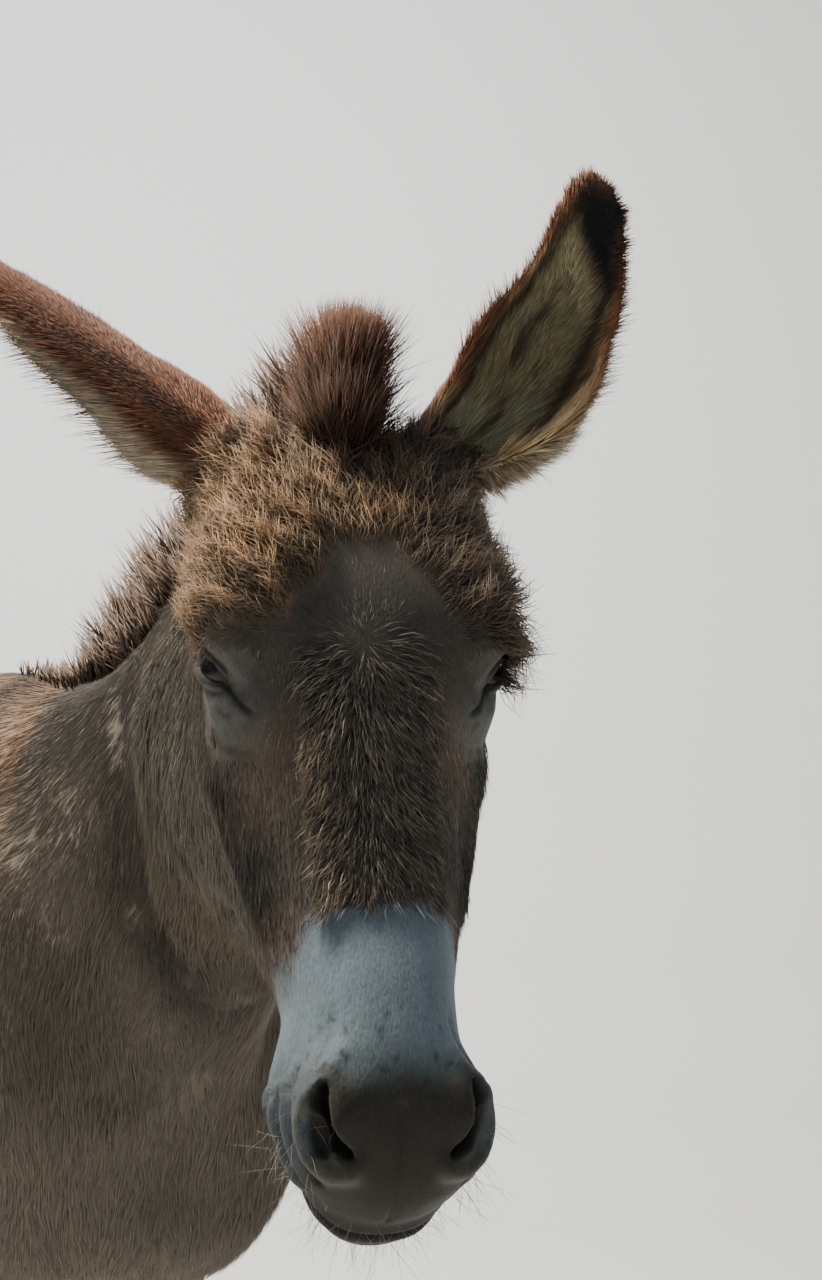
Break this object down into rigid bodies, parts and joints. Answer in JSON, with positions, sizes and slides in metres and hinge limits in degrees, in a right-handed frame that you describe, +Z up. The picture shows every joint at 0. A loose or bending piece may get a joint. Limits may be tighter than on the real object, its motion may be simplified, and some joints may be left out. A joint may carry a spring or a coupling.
{
  "type": "donkey",
  "caption": "Life-size donkey standing square with its head raised and turned a little to its right, one ear forward and the other out to the side.",
  "frame": {"origin": "on the floor, under the middle of the bounding box of the whole animal", "axes": "+Z up, the animal faces -Y, its left side is towards +X"},
  "size_m": [0.5044, 1.5898, 1.4598],
  "materials": {
    "coat": "short dense grey-brown fur, paler on the muzzle, round the eyes and on the belly",
    "mane": "coarse upright dark brown hair",
    "ear": "rust brown fur outside, cream fur inside, dark rim and tip",
    "hoof": "dark grey horn with fine rings",
    "eye": "wet dark brown eye"
  },
  "bodies": {
    "root": {"neck": "coat", "head": "coat", "eye_left": "eye", "eye_right": "eye", "trunk": "coat", "foreleg_left_upper": "coat", "foreleg_left_lower": "coat", "foreleg_left_hoof": "hoof", "foreleg_right_upper": "coat", "foreleg_right_lower": "coat", "foreleg_right_hoof": "hoof", "hindleg_left_upper": "coat", "hindleg_left_lower": "coat", "hindleg_left_hoof": "hoof", "hindleg_right_upper": "coat", "hindleg_right_lower": "coat", "hindleg_right_hoof": "hoof", "tail": "coat", "tail_tuft": "mane", "ear_left": "ear", "ear_right": "ear", "forelock": "mane", "mane": "mane"}
  },
  "joints": []
}
